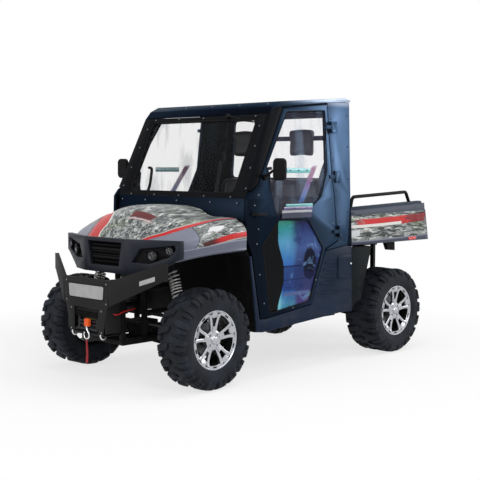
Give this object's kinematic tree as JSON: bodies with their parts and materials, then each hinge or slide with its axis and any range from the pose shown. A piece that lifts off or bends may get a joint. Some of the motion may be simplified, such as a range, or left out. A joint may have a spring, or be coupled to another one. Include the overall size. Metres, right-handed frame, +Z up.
{
  "type": "side by side utility vehicle",
  "caption": "Two-seat utility vehicle with a closed steel cab, rear-hinged doors, a tilting cargo bed, mud tyres, plate bumper and winch.",
  "frame": {"origin": "on the floor, below the middle of the vehicle's length and width", "axes": "+X forward, +Y to the driver's left, +Z up"},
  "size_m": [2.974, 1.74, 1.96],
  "materials": {
    "tyre": "matt black mud tyre",
    "rim": "machined face, dark pockets",
    "frame_black": "satin black powder coat",
    "cab_blue_black": "fine textured dark blue-black",
    "body_plastic": "grained dark blue-black plastic",
    "fender_grey": "grey-blue with streaked camouflage",
    "camo": "streaked grey and green camouflage with red lines",
    "glass_clear": "clear, faint tint",
    "glass_film": "clear with a blue to violet film",
    "black_plastic": "fine grained black plastic",
    "seat_vinyl": "black seat vinyl",
    "spring_silver": "silver coil over black damper",
    "cast_metal": "cast housings",
    "lamp": "black housings with clear lenses",
    "tail_red": "red lens",
    "bumper_black": "textured black plate"
  },
  "bodies": {
    "chassis": {"frame_rails": "frame_black", "front_tower": "frame_black", "bed_frame": "frame_black", "cab_outriggers": "frame_black", "suspension_brackets": "frame_black", "hitch_receiver": "frame_black", "tow_hook": "spring_silver", "floor_pan": "black_plastic", "roll_cage": "frame_black", "roof_panel": "cab_blue_black", "windscreen_frame": "cab_blue_black", "cab_glass": "glass_clear", "rear_wall": "cab_blue_black", "cab_quarters": "cab_blue_black", "cowl_panel": "cab_blue_black", "side_panels": "body_plastic", "rear_mudguards": "body_plastic", "arch_liners": "black_plastic", "front_fenders": "fender_grey", "front_fascia": "body_plastic", "grille": "black_plastic", "headlamps": "lamp", "front_bumper": "bumper_black", "winch": "frame_black", "dash_panel": "black_plastic", "seat_base": "black_plastic", "seat_cushion": "seat_vinyl", "seat_back": "seat_vinyl", "headrests": "seat_vinyl", "engine_block": "cast_metal", "drive_line": "cast_metal", "front_suspension": "frame_black", "rear_suspension": "frame_black", "shock_absorbers": "spring_silver", "steering_rack": "cast_metal"},
    "hood": {"hood": "camo"},
    "door_left": {"door_left": "cab_blue_black", "door_glass_left": "glass_film", "mirror_left": "black_plastic"},
    "door_right": {"door_right": "cab_blue_black", "door_glass_right": "glass_film", "mirror_right": "black_plastic"},
    "bed": {"bed_box": "camo", "bed_rails": "frame_black", "tail_lamps": "tail_red"},
    "tailgate": {"tailgate": "camo"},
    "steering_wheel": {"steering_wheel": "black_plastic"},
    "tie_rods": {"tie_rods": "cast_metal"},
    "knuckle_left": {"knuckle_left": "cast_metal"},
    "knuckle_right": {"knuckle_right": "cast_metal"},
    "wheel_front_left": {"tyre_front_left": "tyre", "rim_front_left": "rim"},
    "wheel_front_right": {"tyre_front_right": "tyre", "rim_front_right": "rim"},
    "wheel_rear_left": {"tyre_rear_left": "tyre", "rim_rear_left": "rim"},
    "wheel_rear_right": {"tyre_rear_right": "tyre", "rim_rear_right": "rim"}
  },
  "joints": [
    {"name": "steer_left", "type": "hinge", "parent": "chassis", "child": "knuckle_left", "pos_m": [0.9975, 0.605, 0.33], "axis": [0, 0, 1], "range_deg": [-28, 28]},
    {"name": "steer_right", "type": "hinge", "parent": "chassis", "child": "knuckle_right", "pos_m": [0.9975, -0.605, 0.33], "axis": [0, 0, 1], "range_deg": [-28.5, 28.5]},
    {"name": "rack_slide", "type": "slide", "parent": "chassis", "child": "tie_rods", "axis": [0, 1, 0], "range_m": [-0.04237, 0.04237]},
    {"name": "steering_wheel_turn", "type": "hinge", "parent": "chassis", "child": "steering_wheel", "pos_m": [0.312, 0.34, 1.128], "axis": [-0.829, 0, 0.5592], "range_deg": [-254, 254]},
    {"name": "spin_front_left", "type": "hinge", "parent": "knuckle_left", "child": "wheel_front_left", "pos_m": [0.9975, 0.6325, 0.33], "axis": [0, 1, 0], "continuous": true},
    {"name": "spin_front_right", "type": "hinge", "parent": "knuckle_right", "child": "wheel_front_right", "pos_m": [0.9975, -0.6325, 0.33], "axis": [0, 1, 0], "continuous": true},
    {"name": "spin_rear_left", "type": "hinge", "parent": "chassis", "child": "wheel_rear_left", "pos_m": [-0.9975, 0.6075, 0.33], "axis": [0, 1, 0], "continuous": true},
    {"name": "spin_rear_right", "type": "hinge", "parent": "chassis", "child": "wheel_rear_right", "pos_m": [-0.9975, -0.6075, 0.33], "axis": [0, 1, 0], "continuous": true},
    {"name": "door_left_hinge", "type": "hinge", "parent": "chassis", "child": "door_left", "pos_m": [-0.298, 0.717, 0.98], "axis": [0.0721, -0.0537, 0.996], "range_deg": [0, 80]},
    {"name": "door_right_hinge", "type": "hinge", "parent": "chassis", "child": "door_right", "pos_m": [-0.298, -0.717, 0.98], "axis": [-0.0721, -0.0537, -0.996], "range_deg": [0, 80]},
    {"name": "hood_hinge", "type": "hinge", "parent": "chassis", "child": "hood", "pos_m": [1.2795, 0, 0.966], "axis": [0, 1, 0], "range_deg": [0, 55]},
    {"name": "bed_tilt", "type": "hinge", "parent": "chassis", "child": "bed", "pos_m": [-1.38, 0, 0.819], "axis": [0, -1, 0], "range_deg": [0, 45]},
    {"name": "tailgate_hinge", "type": "hinge", "parent": "bed", "child": "tailgate", "pos_m": [-1.478, 0, 0.8945], "axis": [0, -1, 0], "range_deg": [0, 90]}
  ],
  "couplings": [
    {"joint": "steer_right", "follows": "steer_left", "ratio": 1},
    {"joint": "rack_slide", "follows": "steer_left", "m_per_rad": 0.085},
    {"joint": "steering_wheel_turn", "follows": "steer_left", "ratio": 9}
  ]
}
